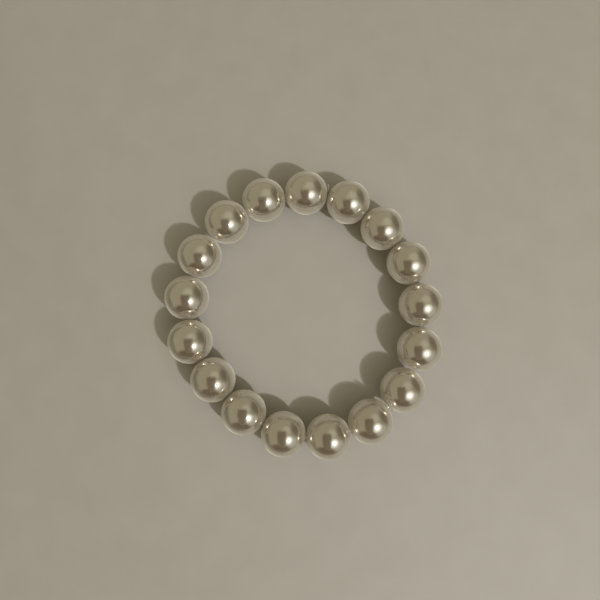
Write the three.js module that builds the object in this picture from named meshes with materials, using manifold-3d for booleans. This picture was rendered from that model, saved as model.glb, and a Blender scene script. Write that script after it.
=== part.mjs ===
// A stretch bracelet of large pearl beads on one clear elastic cord, lying flat.
//
// Millimetres, +Z up. The origin is on the surface that the bracelet lies on, under the middle of
// its outline. Each bead is a drilled ball of its own, and the elastic is one solid: a closed loop
// through every bore, with its knot and its two clipped ends.

import * as THREE from 'three';
import { mergeVertices } from 'three/addons/utils/BufferGeometryUtils.js';
import Module from 'manifold-3d';

const wasm = await Module();
wasm.setup();

// ---- the beads ----
const BEAD_COUNT = 17;
const BEAD_DIAMETER = 12;
const BORE_DIAMETER = 2;
const BEAD_GAP = 0.15;

// ---- the elastic ----
const CORD_DIAMETER = 0.5;
const CORD_PULL = 0.15;
const KNOT_DIAMETER = 1.6;
const KNOT_THICKNESS = 0.9;

// ---- what stands in the grooves between beads ----
// The knot lies after bead 7 and keeps that bead and the next a little further apart. The second
// end of the elastic is tucked back through the beads and comes out after bead 1.
const KNOT_AFTER_BEAD = 7;
const KNOT_GAP = 0.25;
const TUCKED_END_AFTER_BEAD = 1;

// ---- the shape of the loop, seen from above ----
// The beads lie on a circle that is drawn out a little along one axis (oval) and a little more on
// one side (egg), with a few beads pushed in towards the middle. Angles run from +X towards +Y.
const OVAL = 0.96;
const OVAL_AXIS = THREE.MathUtils.degToRad(113);
const EGG = 0.32;
const EGG_AXIS = THREE.MathUtils.degToRad(64);
const FIRST_BEAD_ANGLE = THREE.MathUtils.degToRad(89.5);
const PUSHED_IN = [
  { bead: 3, by: 0.6 },
  { bead: 11, by: 0.8 },
  { bead: 12, by: 1.2 },
];

// ---- where the loop's two unknowns are searched for ----
const MEAN_RADIUS_BETWEEN = [25, 45];
const BEAD_STEP_BETWEEN = [THREE.MathUtils.degToRad(12), THREE.MathUtils.degToRad(35)];
const HALVINGS = 50;

// ---- how finely the round shapes are faceted ----
const BEAD_SEGMENTS = 20;
const BEAD_ARC_STEPS = 10;
const CORD_SIDES = 8;
const CORD_STEPS_PER_BEAD = 4;
const END_STEPS = 12;
const KNOT_SEGMENTS = 12;
const MERGE_DISTANCE = 1e-5;

const beadRadius = BEAD_DIAMETER / 2;
const boreRadius = BORE_DIAMETER / 2;
const cordRadius = CORD_DIAMETER / 2;
const up = new THREE.Vector3(0, 0, 1);


// ---- the loop ----

function pushedIn(bead) {
  const row = PUSHED_IN.find((entry) => entry.bead === bead);
  return row ? row.by : 0;
}

// The place of a bead's centre at an angle, on a loop of this mean radius.
function onLoop(bead, angle, meanRadius) {
  const oval = OVAL * Math.cos(2 * (angle - OVAL_AXIS));
  const egg = EGG * Math.cos(3 * (angle - EGG_AXIS));
  const radius = meanRadius + oval + egg - pushedIn(bead);
  return new THREE.Vector3(radius * Math.cos(angle), radius * Math.sin(angle), beadRadius);
}

// The value in a range at which isTooLow turns from true to false.
function bisect([low, high], isTooLow) {
  for (let halving = 0; halving < HALVINGS; halving += 1) {
    const middle = (low + high) / 2;
    if (isTooLow(middle)) {
      low = middle;
    } else {
      high = middle;
    }
  }
  return (low + high) / 2;
}

// Walks clockwise round the loop, each bead touching the next but for its gap. Returns the beads'
// centres and the whole angle walked, which is a full turn only at the right mean radius: on a
// smaller loop the same beads reach further round.
function walkLoop(meanRadius) {
  const centres = [];
  let angle = FIRST_BEAD_ANGLE;
  for (let bead = 1; bead <= BEAD_COUNT; bead += 1) {
    const here = onLoop(bead, angle, meanRadius);
    const pitch = BEAD_DIAMETER + (bead === KNOT_AFTER_BEAD ? KNOT_GAP : BEAD_GAP);
    const next = (bead % BEAD_COUNT) + 1;
    const from = angle;
    const isTooClose = (step) => onLoop(next, from - step, meanRadius).distanceTo(here) < pitch;
    centres.push(here);
    angle -= bisect(BEAD_STEP_BETWEEN, isTooClose);
  }
  return { centres, walked: FIRST_BEAD_ANGLE - angle };
}

const meanRadius = bisect(MEAN_RADIUS_BETWEEN, (radius) => walkLoop(radius).walked > 2 * Math.PI);
const centres = walkLoop(meanRadius).centres;

function centreOf(bead) {
  return centres[(bead - 1 + BEAD_COUNT) % BEAD_COUNT];
}

// The groove after a bead: its middle, the direction along the thread to the next bead, and the
// direction out of the loop.
function grooveAfter(bead) {
  const from = centreOf(bead);
  const to = centreOf(bead + 1);
  const middle = from.clone().add(to).multiplyScalar(0.5);
  const along = to.clone().sub(from).normalize();
  const outward = up.clone().cross(along);
  return { middle, along, outward };
}

function inGroove(groove, along, outward, rise) {
  return groove.middle.clone()
    .addScaledVector(groove.along, along)
    .addScaledVector(groove.outward, outward)
    .addScaledVector(up, rise);
}

// How far a bead's bore has come outside the line between the centres where it opens on a groove.
// Each bead is drilled along the loop's own direction there, halfway between its two grooves.
function boreOffset(bead) {
  const turn = grooveAfter(bead - 1).along.angleTo(grooveAfter(bead).along);
  return beadRadius * Math.sin(turn / 2);
}

// How far out the bores of the two beads beside a groove meet.
function meetingOffset(bead) {
  return (boreOffset(bead) + boreOffset(bead + 1)) / 2;
}


// ---- solids ----

function toSolid(geometry) {
  geometry.deleteAttribute('normal');
  geometry.deleteAttribute('uv');
  const merged = mergeVertices(geometry, MERGE_DISTANCE);
  return new wasm.Manifold(new wasm.Mesh({
    numProp: 3,
    vertProperties: new Float32Array(merged.attributes.position.array),
    triVerts: new Uint32Array(merged.index.array),
  }));
}

function toGeometry(solid) {
  const mesh = solid.getMesh();
  const geometry = new THREE.BufferGeometry();
  geometry.setAttribute('position', new THREE.BufferAttribute(mesh.vertProperties, 3));
  geometry.setIndex(new THREE.BufferAttribute(mesh.triVerts, 1));
  geometry.computeVertexNormals();
  return geometry;
}

// A ball with a bore along Y: its outer arc from one bore mouth to the other, and back down the bore.
function drilledBall() {
  const mouthAngle = Math.asin(boreRadius / beadRadius);
  const profile = [];
  for (let step = 0; step <= BEAD_ARC_STEPS; step += 1) {
    const angle = THREE.MathUtils.lerp(mouthAngle, Math.PI - mouthAngle, step / BEAD_ARC_STEPS);
    profile.push(new THREE.Vector2(beadRadius * Math.sin(angle), -beadRadius * Math.cos(angle)));
  }
  profile.push(profile[0].clone());
  return new THREE.LatheGeometry(profile, BEAD_SEGMENTS);
}

// A round cord of the elastic's thickness along an open curve, with flat cut ends.
function cordAlong(points) {
  const section = new THREE.Shape(new THREE.EllipseCurve(0, 0, cordRadius, cordRadius).getPoints(CORD_SIDES));
  const extrudePath = new THREE.CatmullRomCurve3(points);
  return new THREE.ExtrudeGeometry(section, { steps: END_STEPS, extrudePath, bevelEnabled: false });
}

// The elastic through the middle of every bead, and through every groove where the bores meet, a
// little to the inside because it is stretched. The knot fills the bore mouths, so it isn't pulled.
function cordLoop() {
  const points = [];
  for (let bead = 1; bead <= BEAD_COUNT; bead += 1) {
    const pull = bead === KNOT_AFTER_BEAD ? 0 : CORD_PULL;
    points.push(centreOf(bead));
    points.push(inGroove(grooveAfter(bead), 0, meetingOffset(bead) - pull, 0));
  }
  const path = new THREE.CatmullRomCurve3(points, true);
  return new THREE.TubeGeometry(path, BEAD_COUNT * CORD_STEPS_PER_BEAD, cordRadius, CORD_SIDES, true);
}

// The outer form of the tight knot: a round lump that fits in the two bore mouths beside it.
function knot(groove, offset) {
  const centre = inGroove(groove, 0, offset, 0);
  const lump = new THREE.SphereGeometry(KNOT_DIAMETER / 2, KNOT_SEGMENTS, KNOT_SEGMENTS / 2);
  lump.scale(KNOT_THICKNESS / KNOT_DIAMETER, 1, 1);
  lump.rotateZ(Math.atan2(groove.along.y, groove.along.x));
  lump.translate(centre.x, centre.y, centre.z);
  return lump;
}

// The first end of the elastic leaves the knot upwards, passes over the groove's neck and runs on
// into the loop, drifting a little towards the next bead.
function knotTail(groove, offset) {
  return cordAlong([
    inGroove(groove, 0, offset, 0.2),
    inGroove(groove, 0, 1.5, 0.8),
    inGroove(groove, 0, 1, 1.6),
    inGroove(groove, 0, -0.1, 1.92),
    inGroove(groove, 0, -1.25, 1.75),
    inGroove(groove, 0.35, -2.4, 1.5),
    inGroove(groove, 0.93, -4, 1.2),
  ]);
}

// The second end stands out of its groove, away from the loop.
function tuckedEnd(groove) {
  return cordAlong([
    inGroove(groove, 0, 0.6, 0),
    inGroove(groove, 0, 1.4, 0.3),
    inGroove(groove, -0.2, 2.6, 0.9),
    inGroove(groove, -0.5, 3.5, 1.2),
  ]);
}


// ---- the pieces ----

const pearl = { color: 0xe6dec8, roughness: 0.22, metalness: 0.35 };
const clearElastic = { color: 0xe9e6dc, roughness: 0.15, metalness: 0, transparent: true, opacity: 0.45 };

function makeBead(bead) {
  const mesh = new THREE.Mesh(drilledBall(), new THREE.MeshStandardMaterial(pearl));
  mesh.name = `bead_${String(bead).padStart(2, '0')}`;
  mesh.position.copy(centreOf(bead));
  const along = centreOf(bead + 1).clone().sub(centreOf(bead - 1));
  mesh.rotation.z = Math.atan2(along.y, along.x) - Math.PI / 2;
  return mesh;
}

function makeElasticCord() {
  const knotGroove = grooveAfter(KNOT_AFTER_BEAD);
  const knotOffset = meetingOffset(KNOT_AFTER_BEAD);
  const pieces = [
    knot(knotGroove, knotOffset),
    knotTail(knotGroove, knotOffset),
    tuckedEnd(grooveAfter(TUCKED_END_AFTER_BEAD)),
  ];
  const whole = pieces.reduce((solid, piece) => solid.add(toSolid(piece)), toSolid(cordLoop()));
  const mesh = new THREE.Mesh(toGeometry(whole), new THREE.MeshStandardMaterial(clearElastic));
  mesh.name = 'elastic_cord';
  return mesh;
}

const bracelet = new THREE.Group();
for (let bead = 1; bead <= BEAD_COUNT; bead += 1) {
  bracelet.add(makeBead(bead));
}
bracelet.add(makeElasticCord());

// Stands the bracelet on z = 0 with the middle of its outline over the origin.
const outline = new THREE.Box3().setFromObject(bracelet, true);
const middle = outline.getCenter(new THREE.Vector3());
bracelet.position.set(-middle.x, -middle.y, -outline.min.z);

export default bracelet;
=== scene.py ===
"""A stretch bracelet of glossy imitation pearls on clear elastic, lying on a pale surface under a
soft room light and one small lamp."""
import math

import bmesh
import bpy
from mathutils import Matrix, Vector, noise


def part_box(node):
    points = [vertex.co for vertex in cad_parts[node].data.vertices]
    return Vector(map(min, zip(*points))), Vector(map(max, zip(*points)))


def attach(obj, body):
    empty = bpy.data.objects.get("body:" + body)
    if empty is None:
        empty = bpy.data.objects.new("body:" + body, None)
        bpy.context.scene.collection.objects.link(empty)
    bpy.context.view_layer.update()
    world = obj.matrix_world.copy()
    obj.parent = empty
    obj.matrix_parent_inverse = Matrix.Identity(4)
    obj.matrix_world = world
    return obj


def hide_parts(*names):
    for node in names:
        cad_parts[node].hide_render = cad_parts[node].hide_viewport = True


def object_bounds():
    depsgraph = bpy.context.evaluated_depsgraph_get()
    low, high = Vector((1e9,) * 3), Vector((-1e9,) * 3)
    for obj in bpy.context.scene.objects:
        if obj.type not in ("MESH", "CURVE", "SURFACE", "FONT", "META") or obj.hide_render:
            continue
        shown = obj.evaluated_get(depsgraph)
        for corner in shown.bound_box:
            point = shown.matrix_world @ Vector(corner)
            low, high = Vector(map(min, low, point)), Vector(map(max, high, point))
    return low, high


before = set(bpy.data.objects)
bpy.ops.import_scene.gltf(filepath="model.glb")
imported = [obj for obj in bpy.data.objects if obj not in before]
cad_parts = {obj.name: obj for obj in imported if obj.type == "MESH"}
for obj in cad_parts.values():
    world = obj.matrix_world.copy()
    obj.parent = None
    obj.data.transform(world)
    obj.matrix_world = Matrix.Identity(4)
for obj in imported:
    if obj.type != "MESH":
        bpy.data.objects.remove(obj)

CAD_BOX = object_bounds()

MM = 0.001
UP = Vector((0.0, 0.0, 1.0))

# ---- the beads, in millimetres ----
BEAD_COUNT = 17
BEAD_RADIUS = 6.05
BORE_RADIUS = 1.0
MOUTH_ROUNDING = 0.15
BEAD_SEGMENTS = 112
BEAD_ARC_STEPS = 72
MOUTH_STEPS = 5
# The coat of lacquer isn't quite even: how far it stands in or out, and how wide its swells are.
COAT_SWELLS = [
    {"width": 9.0, "height": 0.012},
    {"width": 2.6, "height": 0.0022},
]

# ---- the elastic, in millimetres ----
CORD_RADIUS = 0.25
CORD_PULL = 0.15
CORD_STEPS_PER_BEAD = 16
CORD_SIDES = 20
END_STEPS = 48

# ---- the knot, in millimetres: a trefoil round the thread, pulled tight until its turns touch ----
KNOT_AFTER_BEAD = 7
KNOT_RADIUS = 0.36
KNOT_TURN_RADIUS = 0.23
KNOT_CORD_RADIUS = 0.21
KNOT_STEPS = 96

# Corners of the united elastic that are closer than this are one corner, in millimetres.
SAME_PLACE = 0.0005
# The elastic's faces that meet at more than this, in degrees, meet in a sharp edge.
SHARP_EDGE = 50.0

TUCKED_END_AFTER_BEAD = 1

# The route of each end of the elastic, from its groove's middle: along the thread, outward from the
# loop, and up. The first starts where the two bores meet.
KNOT_TAIL = [
    (0.0, 1.23, 0.2),
    (0.0, 1.5, 0.8),
    (0.0, 1.0, 1.6),
    (0.0, -0.1, 1.92),
    (0.0, -1.25, 1.75),
    (0.35, -2.4, 1.5),
    (0.93, -4.0, 1.2),
]
TUCKED_END = [
    (0.0, 0.6, 0.0),
    (0.0, 1.4, 0.3),
    (-0.2, 2.6, 0.9),
    (-0.5, 3.5, 1.2),
]

# ---- the lacquer of the pearls: sizes in millimetres, the rest as the shader takes it ----
# Clouds drift between two colours. A ramp's stops are (position in the noise, colour).
CLOUD_WIDTH = 3.5
CLOUD_STOPS = [(0.35, (0.68, 0.63, 0.54)), (0.65, (0.70, 0.655, 0.575))]
FLECK_WIDTH = 0.12
FLECK_STRENGTH = 0.12
FLECK_COLOUR = (0.80, 0.76, 0.70)
LACQUER_METALLIC = 0.9
# The roughness varies between two values over the middle of a pearl, and rises to a third one
# between two values of Facing, which is 0 where a surface is seen from straight ahead.
GLOSS_WIDTH = 1.6
GLOSS_ROUGHNESS = (0.13, 0.155)
RIM_ROUGHNESS = 0.38
RIM_FACING = (0.2, 0.6)
COAT_ROUGHNESS = 0.05
SHEEN_ROUGHNESS = 0.5
SHEEN_TINT = (1.0, 0.94, 0.80)
BORE_COLOUR = (0.82, 0.80, 0.74)

# ---- the elastic's material ----
MILK_WIDTH = 0.8
MILK_STOPS = [(0.3, (0.88, 0.85, 0.75)), (0.7, (0.95, 0.93, 0.85))]
RIPPLE_WIDTH = 0.3
ELASTIC_ROUGHNESS = (0.07, 0.13)
ELASTIC_IOR = 1.5
ELASTIC_CLARITY = 0.78

# ---- the floor, in millimetres ----
FLOOR_WIDTH = 3000.0
MOTTLE_WIDTH = 9.0
MOTTLE_DETAIL = 4.0
MOTTLE_STOPS = [(0.3, (0.487, 0.458, 0.418)), (0.7, (0.511, 0.482, 0.442))]
FLOOR_ROUGHNESS = 0.6

# Most of a noise's values lie in this range.
NOISE_MIDDLE = (0.3, 0.7)

# ---- the camera, over the bracelet, in millimetres from the middle of the surface below it ----
CAMERA_PLACE = (-3.1, -10.3, 143.8)
CAMERA_AIM = (-1.1, 3.3, 6.0)
CAMERA_LENS = 30.0
SENSOR_WIDTH = 36.0
SEEN_FROM = 5.0
SEEN_TO = 10000.0

# ---- the lamp ----
LAMP_DISTANCE = 900.0
LAMP_DIAMETER = 45.0
# The first lamp lights the scene and isn't seen in the gloss. The second is only seen there: it is
# the small bright core of the highlight, inside the room's soft glow.
LAMPS = [
    {"name": "lamp", "direction": (0.484, -0.449, 0.751), "power": 3.15, "only_gloss": False},
    {"name": "highlight", "direction": (0.43, -0.42, 0.80), "power": 3.2, "only_gloss": True},
]

# The room's light, by direction: a base colour, with soft round patches laid over it in this order.
# Azimuth runs from +X towards +Y and zenith down from straight up, in degrees. A patch is full
# inside its inner angle and gone beyond its outer one.
ROOM_COLOUR = (0.325, 0.293, 0.20)
ROOM_PATCHES = [
    {"azimuth": 0, "zenith": 180, "inner": 88, "outer": 104, "colour": (0.17, 0.14, 0.09)},
    {"azimuth": 110, "zenith": 12, "inner": 2, "outer": 20, "colour": (0.40, 0.365, 0.255)},
    {"azimuth": 54, "zenith": 29, "inner": 5, "outer": 29, "colour": (0.47, 0.44, 0.335)},
    {"azimuth": -38, "zenith": 63, "inner": 12, "outer": 31, "colour": (0.44, 0.43, 0.37)},
    {"azimuth": -44, "zenith": 37, "inner": 4, "outer": 28, "colour": (1.2, 1.17, 1.08)},
    {"azimuth": 22, "zenith": 80, "inner": 12, "outer": 41, "colour": (0.11, 0.085, 0.045)},
    {"azimuth": 195, "zenith": 105, "inner": 12, "outer": 34, "colour": (0.08, 0.06, 0.03)},
    {"azimuth": 260, "zenith": 83, "inner": 28, "outer": 42, "colour": (0.10, 0.06, 0.025)},
]

# ---- the dark cards, in millimetres and degrees ----
# One hangs over the surface beside the camera. The other lies on the surface, beyond the bracelet's
# left side: a painted shadow, a dark sheet where a big shadow falls on the floor, seen only in the
# beads' gloss. Each fades out towards its edges: over the first width along its own X, and over the
# second along its own Y.
CARDS = [
    {"name": "hanging_card", "centre": (-24.0, -135.0, 146.0), "size": (152.0, 370.0), "turn": 0.0,
     "fades": (34.0, 50.0), "colour": (0.40, 0.33, 0.22)},
    # Painted shadow on the floor, seen only in the beads' gloss: the floor's colour, darkened as in
    # shade.
    {"name": "painted_shadow_card", "centre": (-161.0, -44.0, 0.3), "size": (240.0, 420.0), "turn": 21.5,
     "fades": (13.0, 30.0), "colour": (0.146, 0.129, 0.092)},
]


# ---------------------------------------------------------------- places

def node_centre(node):
    low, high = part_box(node)
    return (Vector(low) + Vector(high)) / 2 / MM


def centre_of(bead):
    return BEAD_CENTRES[(bead - 1) % BEAD_COUNT]


def groove_after(bead):
    """The groove after a bead: its middle, the way to the next bead, and the way out of the loop."""
    start = centre_of(bead)
    end = centre_of(bead + 1)
    along = (end - start).normalized()
    return (start + end) / 2, along, UP.cross(along)


def in_groove(bead, along, outward, rise):
    middle, towards_next, out_of_loop = groove_after(bead)
    return middle + towards_next * along + out_of_loop * outward + UP * rise


def bore_direction(bead):
    return (centre_of(bead + 1) - centre_of(bead - 1)).normalized()


def bore_offset(bead):
    """How far a bore has come outside the line between the beads' centres, where it opens."""
    turn = groove_after(bead - 1)[1].angle(groove_after(bead)[1])
    return BEAD_RADIUS * math.sin(turn / 2)


def meeting_offset(bead):
    return (bore_offset(bead) + bore_offset(bead + 1)) / 2


BEAD_CENTRES = [node_centre(f"bead_{bead:02d}") for bead in range(1, BEAD_COUNT + 1)]


# ---------------------------------------------------------------- materials

def new_material(name):
    material = bpy.data.materials.new(name)
    material.use_nodes = True
    return material, material.node_tree, material.node_tree.nodes["Principled BSDF"]


def noise_texture(tree, size, detail=2.0):
    """Noise whose features are about this many millimetres across, fixed to the piece."""
    place = tree.nodes.new("ShaderNodeTexCoord")
    texture = tree.nodes.new("ShaderNodeTexNoise")
    texture.inputs["Scale"].default_value = 1 / (size * MM)
    texture.inputs["Detail"].default_value = detail
    tree.links.new(place.outputs["Object"], texture.inputs["Vector"])
    return texture.outputs["Fac"]


def ramp(tree, factor, stops):
    node = tree.nodes.new("ShaderNodeValToRGB")
    for element, (position, colour) in zip(node.color_ramp.elements, stops):
        element.position = position
        element.color = (*colour, 1.0)
    tree.links.new(factor, node.inputs["Fac"])
    return node.outputs["Color"]


def feed(tree, socket, value):
    """Links a socket to another one, or sets it to a number or a colour."""
    if isinstance(value, bpy.types.NodeSocket):
        tree.links.new(value, socket)
    elif isinstance(value, tuple):
        socket.default_value = (*value, 1.0)
    else:
        socket.default_value = value


def blend(tree, factor, first, second):
    node = tree.nodes.new("ShaderNodeMixRGB")
    for socket, value in zip(node.inputs, (factor, first, second)):
        feed(tree, socket, value)
    return node.outputs["Color"]


def calculate(tree, operation, *values):
    node = tree.nodes.new("ShaderNodeMath")
    node.operation = operation
    for socket, value in zip(node.inputs, values):
        feed(tree, socket, value)
    return node.outputs["Value"]


def rescale(tree, value, from_low, from_high, to_low, to_high, smooth=False):
    """Turns the range from_low to from_high of a value into to_low to to_high."""
    node = tree.nodes.new("ShaderNodeMapRange")
    if smooth:
        node.interpolation_type = "SMOOTHSTEP"
    sockets = ("Value", "From Min", "From Max", "To Min", "To Max")
    for name, amount in zip(sockets, (value, from_low, from_high, to_low, to_high)):
        feed(tree, node.inputs[name], amount)
    return node.outputs["Result"]


def spread(tree, noise_factor, low, high):
    """Stretches the middle of a noise's range over low to high."""
    return rescale(tree, noise_factor, *NOISE_MIDDLE, low, high)


def softer_at_rim(tree, roughness):
    """The lacquer's flakes scatter more where they are seen edge-on, near a bead's rim."""
    facing = tree.nodes.new("ShaderNodeLayerWeight").outputs["Facing"]
    return rescale(tree, facing, *RIM_FACING, roughness, RIM_ROUGHNESS, smooth=True)


def pearl_material():
    """Pearlescent ivory lacquer under a clear coat: cloudy and faintly flecked, and bare white
    plastic inside the bore."""
    material, tree, shader = new_material("pearl")
    clouds = ramp(tree, noise_texture(tree, CLOUD_WIDTH), CLOUD_STOPS)
    flecks = spread(tree, noise_texture(tree, FLECK_WIDTH, detail=0.0), 0.0, FLECK_STRENGTH)
    lacquer = blend(tree, flecks, clouds, FLECK_COLOUR)
    bore = tree.nodes.new("ShaderNodeAttribute")
    bore.attribute_name = "bore"
    in_bore = bore.outputs["Fac"]
    gloss = spread(tree, noise_texture(tree, GLOSS_WIDTH), *GLOSS_ROUGHNESS)
    settings = {
        "Base Color": blend(tree, in_bore, lacquer, BORE_COLOUR),
        "Metallic": rescale(tree, in_bore, 0.0, 1.0, LACQUER_METALLIC, 0.0),
        "Roughness": softer_at_rim(tree, gloss),
        "Coat Weight": 1.0,
        "Coat Roughness": COAT_ROUGHNESS,
        "Sheen Weight": 1.0,
        "Sheen Roughness": SHEEN_ROUGHNESS,
        "Sheen Tint": SHEEN_TINT,
    }
    for name, value in settings.items():
        feed(tree, shader.inputs[name], value)
    return material


def elastic_material():
    """Clear stretch cord, a little milky and not quite smooth."""
    material, tree, shader = new_material("clear_elastic")
    milk = ramp(tree, noise_texture(tree, MILK_WIDTH), MILK_STOPS)
    settings = {
        "Base Color": milk,
        "Roughness": spread(tree, noise_texture(tree, RIPPLE_WIDTH), *ELASTIC_ROUGHNESS),
        "IOR": ELASTIC_IOR,
        "Transmission Weight": ELASTIC_CLARITY,
    }
    for name, value in settings.items():
        feed(tree, shader.inputs[name], value)
    return material


def floor_material():
    """A pale matt board, very faintly mottled."""
    material, tree, shader = new_material("floor")
    mottle = ramp(tree, noise_texture(tree, MOTTLE_WIDTH, MOTTLE_DETAIL), MOTTLE_STOPS)
    feed(tree, shader.inputs["Base Color"], mottle)
    feed(tree, shader.inputs["Roughness"], FLOOR_ROUGHNESS)
    return material


# ---------------------------------------------------------------- beads

def bead_profile():
    """Rows of distance from the bore's axis, distance along it and whether it is in the bore, in mm:
    over the outside from mouth to mouth, round that mouth's lip, and back down the bore."""
    lip_from_axis = BORE_RADIUS + MOUTH_ROUNDING
    lip_along = math.sqrt((BEAD_RADIUS - MOUTH_ROUNDING) ** 2 - lip_from_axis ** 2)
    lip_angle = math.atan2(lip_from_axis, lip_along)
    outside = []
    for step in range(BEAD_ARC_STEPS + 1):
        angle = math.pi - lip_angle - (math.pi - 2 * lip_angle) * step / BEAD_ARC_STEPS
        outside.append((BEAD_RADIUS * math.sin(angle), BEAD_RADIUS * math.cos(angle), 0.0))
    lip = []
    for step in range(1, MOUTH_STEPS + 1):
        share = step / MOUTH_STEPS
        angle = lip_angle - (lip_angle + math.pi / 2) * share
        away = lip_from_axis + MOUTH_ROUNDING * math.sin(angle)
        lip.append((away, lip_along + MOUTH_ROUNDING * math.cos(angle), share))
    other_lip = [(away, -along, depth) for away, along, depth in reversed(lip)]
    return outside + lip + other_lip


def swell(place):
    """How far the lacquer stands in or out at a place on a bead, in mm."""
    return sum(row["height"] * noise.noise(place / row["width"]) for row in COAT_SWELLS)


def make_bead(number, material):
    centre = centre_of(number)
    axis = bore_direction(number)
    side = axis.cross(UP)
    shape = bmesh.new()
    in_bore = shape.verts.layers.float.new("bore")
    rings = []
    for away, along, depth in bead_profile():
        ring = []
        for segment in range(BEAD_SEGMENTS):
            angle = 2 * math.pi * segment / BEAD_SEGMENTS
            outward = side * math.cos(angle) + UP * math.sin(angle)
            place = axis * along + outward * away
            place += place.normalized() * swell(centre + place) * (1 - depth)
            vertex = shape.verts.new((centre + place) * MM)
            vertex[in_bore] = depth
            ring.append(vertex)
        rings.append(ring)
    join_rings(shape, rings + rings[:1])
    bead = finish_mesh(shape, f"pearl_{number:02d}", material)
    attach(bead, "root")
    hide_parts(f"bead_{number:02d}")


# ---------------------------------------------------------------- meshes

def join_rings(shape, rings):
    for first, second in zip(rings, rings[1:]):
        for segment in range(len(first)):
            after = (segment + 1) % len(first)
            shape.faces.new((first[segment], first[after], second[after], second[segment]))


def finish_mesh(shape, name, material):
    bmesh.ops.recalc_face_normals(shape, faces=shape.faces)
    for face in shape.faces:
        face.smooth = True
    mesh = bpy.data.meshes.new(name)
    shape.to_mesh(mesh)
    shape.free()
    mesh.materials.append(material)
    piece = bpy.data.objects.new(name, mesh)
    bpy.context.scene.collection.objects.link(piece)
    return piece


# ---------------------------------------------------------------- elastic

def smooth_point(before, start, end, after, share):
    """A point on a Catmull-Rom curve, a share of the way from start to end."""
    slope = (end - before) / 2
    next_slope = (after - start) / 2
    return (
        start * (2 * share ** 3 - 3 * share ** 2 + 1)
        + slope * (share ** 3 - 2 * share ** 2 + share)
        + end * (3 * share ** 2 - 2 * share ** 3)
        + next_slope * (share ** 3 - share ** 2)
    )


def smooth_route(points, steps, closed):
    """About this many points on one smooth curve through the given ones."""
    count = len(points)
    stretches = count if closed else count - 1
    per_stretch = max(1, round(steps / stretches))
    if closed:
        around = [points[-1], *points, points[0], points[1]]
    else:
        around = [2 * points[0] - points[1], *points, 2 * points[-1] - points[-2]]
    route = []
    for stretch in range(stretches):
        for step in range(per_stretch):
            route.append(smooth_point(*around[stretch:stretch + 4], step / per_stretch))
    if not closed:
        route.append(points[-1])
    return route


def make_tube(name, route, radius, closed):
    """A round tube along a route, with its rings kept from twisting and its open ends capped."""
    shape = bmesh.new()
    count = len(route)
    rings = []
    side = None
    for index, place in enumerate(route):
        after = route[(index + 1) % count] if closed else route[min(index + 1, count - 1)]
        before = route[index - 1] if closed else route[max(index - 1, 0)]
        heading = (after - before).normalized()
        side = side or heading.cross(Vector((0.3, 0.2, 1.0)))
        side = (side - heading * side.dot(heading)).normalized()
        other = heading.cross(side)
        ring = []
        for corner in range(CORD_SIDES):
            angle = 2 * math.pi * corner / CORD_SIDES
            spot = place + (side * math.cos(angle) + other * math.sin(angle)) * radius
            ring.append(shape.verts.new(spot * MM))
        rings.append(ring)
    join_rings(shape, rings)
    if closed:
        join_nearest(shape, rings[-1], rings[0])
    else:
        shape.faces.new(reversed(rings[0]))
        shape.faces.new(rings[-1])
    return finish_mesh(shape, name, None)


def join_nearest(shape, last, first):
    """Closes a loop of rings: turns the first ring until it meets the last one's corners."""
    def distance(shift):
        return (last[0].co - first[shift].co).length
    shift = min(range(len(first)), key=distance)
    join_rings(shape, [last, first[shift:] + first[:shift]])


def knot_route():
    offset = meeting_offset(KNOT_AFTER_BEAD)
    route = []
    for step in range(KNOT_STEPS):
        turn = 2 * math.pi * step / KNOT_STEPS
        away = KNOT_RADIUS + KNOT_TURN_RADIUS * math.cos(3 * turn)
        along = KNOT_TURN_RADIUS * math.sin(3 * turn)
        outward = offset + away * math.cos(2 * turn)
        route.append(in_groove(KNOT_AFTER_BEAD, along, outward, away * math.sin(2 * turn)))
    return route


def loop_route():
    points = []
    for bead in range(1, BEAD_COUNT + 1):
        pull = 0.0 if bead == KNOT_AFTER_BEAD else CORD_PULL
        points.append(centre_of(bead))
        points.append(in_groove(bead, 0.0, meeting_offset(bead) - pull, 0.0))
    return smooth_route(points, CORD_STEPS_PER_BEAD * BEAD_COUNT, closed=True)


def end_route(bead, points):
    return smooth_route([in_groove(bead, *point) for point in points], END_STEPS, closed=False)


def unite(whole, piece):
    """Adds a piece to the whole as one solid. Either may cross itself, as the knot's turns do."""
    joiner = whole.modifiers.new("unite", "BOOLEAN")
    joiner.operation = "UNION"
    joiner.solver = "EXACT"
    joiner.use_self = True
    joiner.object = piece
    mesh = bpy.data.meshes.new_from_object(whole.evaluated_get(bpy.context.evaluated_depsgraph_get()))
    whole.modifiers.clear()
    whole.data = mesh
    bpy.data.objects.remove(piece)


def drop_slivers(piece):
    """Merges the corners that the unions left almost in one place."""
    shape = bmesh.new()
    shape.from_mesh(piece.data)
    bmesh.ops.remove_doubles(shape, verts=shape.verts, dist=SAME_PLACE * MM)
    shape.to_mesh(piece.data)
    shape.free()


def make_elastic():
    elastic = make_tube("elastic", loop_route(), CORD_RADIUS, closed=True)
    unite(elastic, make_tube("knot", knot_route(), KNOT_CORD_RADIUS, closed=True))
    tail = end_route(KNOT_AFTER_BEAD, KNOT_TAIL)
    unite(elastic, make_tube("tail", tail, CORD_RADIUS, closed=False))
    end = end_route(TUCKED_END_AFTER_BEAD, TUCKED_END)
    unite(elastic, make_tube("end", end, CORD_RADIUS, closed=False))
    drop_slivers(elastic)
    elastic.data.materials.clear()
    elastic.data.materials.append(elastic_material())
    elastic.data.set_sharp_from_angle(angle=math.radians(SHARP_EDGE))
    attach(elastic, "root")
    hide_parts("elastic_cord")


# ---------------------------------------------------------------- stage

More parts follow.
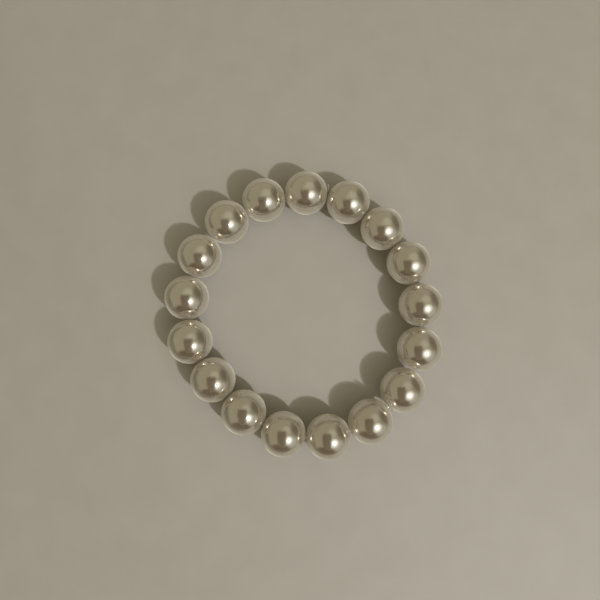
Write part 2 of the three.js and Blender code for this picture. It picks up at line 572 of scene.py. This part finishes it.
def make_sheet(name, centre, size, material):
    """A flat level rectangle, with its middle at a place, in metres."""
    half_x, half_y = size[0] / 2, size[1] / 2
    corners = [(-half_x, -half_y, 0), (half_x, -half_y, 0), (half_x, half_y, 0), (-half_x, half_y, 0)]
    mesh = bpy.data.meshes.new(name)
    mesh.from_pydata(corners, [], [(0, 1, 2, 3)])
    mesh.materials.append(material)
    sheet = bpy.data.objects.new(name, mesh)
    bpy.context.scene.collection.objects.link(sheet)
    sheet.location = centre
    return sheet


def make_camera():
    data = bpy.data.cameras.new("camera")
    data.lens = CAMERA_LENS
    data.sensor_width = SENSOR_WIDTH
    data.clip_start = SEEN_FROM * MM
    data.clip_end = SEEN_TO * MM
    camera = bpy.data.objects.new("camera", data)
    bpy.context.scene.collection.objects.link(camera)
    place = Vector(CAMERA_PLACE) * MM
    look = (Vector(CAMERA_AIM) * MM - place).normalized()
    right = look.cross(Vector((0.0, 1.0, 0.0))).normalized()
    axes = Matrix((right, right.cross(look), -look)).transposed()
    camera.matrix_world = Matrix.Translation(place) @ axes.to_4x4()
    bpy.context.scene.camera = camera


def make_lamp(name, direction, power, only_gloss):
    data = bpy.data.lights.new(name, "AREA")
    data.shape = "DISK"
    data.size = LAMP_DIAMETER * MM
    data.energy = power
    lamp = bpy.data.objects.new(name, data)
    bpy.context.scene.collection.objects.link(lamp)
    way = Vector(direction).normalized()
    lamp.location = way * LAMP_DISTANCE * MM
    lamp.rotation_euler = (-way).to_track_quat("-Z", "Y").to_euler()
    lamp.visible_glossy = only_gloss
    lamp.visible_diffuse = not only_gloss


def direction_of(azimuth, zenith):
    azimuth, zenith = math.radians(azimuth), math.radians(zenith)
    return (math.sin(zenith) * math.cos(azimuth), math.sin(zenith) * math.sin(azimuth), math.cos(zenith))


def patch_reach(tree, place, patch):
    """1 inside a patch of the room and 0 outside it, with a soft edge."""
    facing = tree.nodes.new("ShaderNodeVectorMath")
    facing.operation = "DOT_PRODUCT"
    facing.inputs[1].default_value = direction_of(patch["azimuth"], patch["zenith"])
    tree.links.new(place, facing.inputs[0])
    full = math.cos(math.radians(patch["inner"]))
    gone = math.cos(math.radians(patch["outer"]))
    return rescale(tree, facing.outputs["Value"], gone, full, 0.0, 1.0, smooth=True)


def make_room():
    world = bpy.data.worlds.new("room")
    world.use_nodes = True
    tree = world.node_tree
    place = tree.nodes.new("ShaderNodeTexCoord").outputs["Generated"]
    colour = ROOM_COLOUR
    for patch in ROOM_PATCHES:
        colour = blend(tree, patch_reach(tree, place, patch), colour, patch["colour"])
    tree.links.new(colour, tree.nodes["Background"].inputs["Color"])
    bpy.context.scene.world = world


def card_material(name, size, fades, colour):
    """One dark colour, fading out to nothing along the card's edges."""
    material, tree, shader = new_material(name)
    place = tree.nodes.new("ShaderNodeTexCoord")
    split = tree.nodes.new("ShaderNodeSeparateXYZ")
    tree.links.new(place.outputs["Object"], split.inputs["Vector"])
    strengths = []
    for axis, length, fade in zip("XY", size, fades):
        from_middle = calculate(tree, "ABSOLUTE", split.outputs[axis])
        edge = length / 2
        full = edge - fade
        strengths.append(rescale(tree, from_middle, edge * MM, full * MM, 0.0, 1.0, smooth=True))
    settings = {
        "Base Color": colour,
        "Roughness": 1.0,
        "Specular IOR Level": 0.0,
        "Alpha": calculate(tree, "MULTIPLY", *strengths),
    }
    for name, value in settings.items():
        feed(tree, shader.inputs[name], value)
    return material


def make_card(name, centre, size, turn, fades, colour):
    """A dark card that only the gloss of the beads sees."""
    material = card_material(name, size, fades, colour)
    card = make_sheet(name, Vector(centre) * MM, [side * MM for side in size], material)
    card.rotation_euler.z = math.radians(turn)
    card.visible_camera = False
    card.visible_shadow = False
    card.visible_diffuse = False
    card.visible_transmission = False


make_camera()
pearl = pearl_material()
for number in range(1, BEAD_COUNT + 1):
    make_bead(number, pearl)
make_elastic()
make_sheet("floor", (0.0, 0.0, CAD_BOX[0][2]), (FLOOR_WIDTH * MM, FLOOR_WIDTH * MM), floor_material())
for row in LAMPS:
    make_lamp(**row)
make_room()
for row in CARDS:
    make_card(**row)
bpy.context.scene.view_settings.view_transform = "Standard"
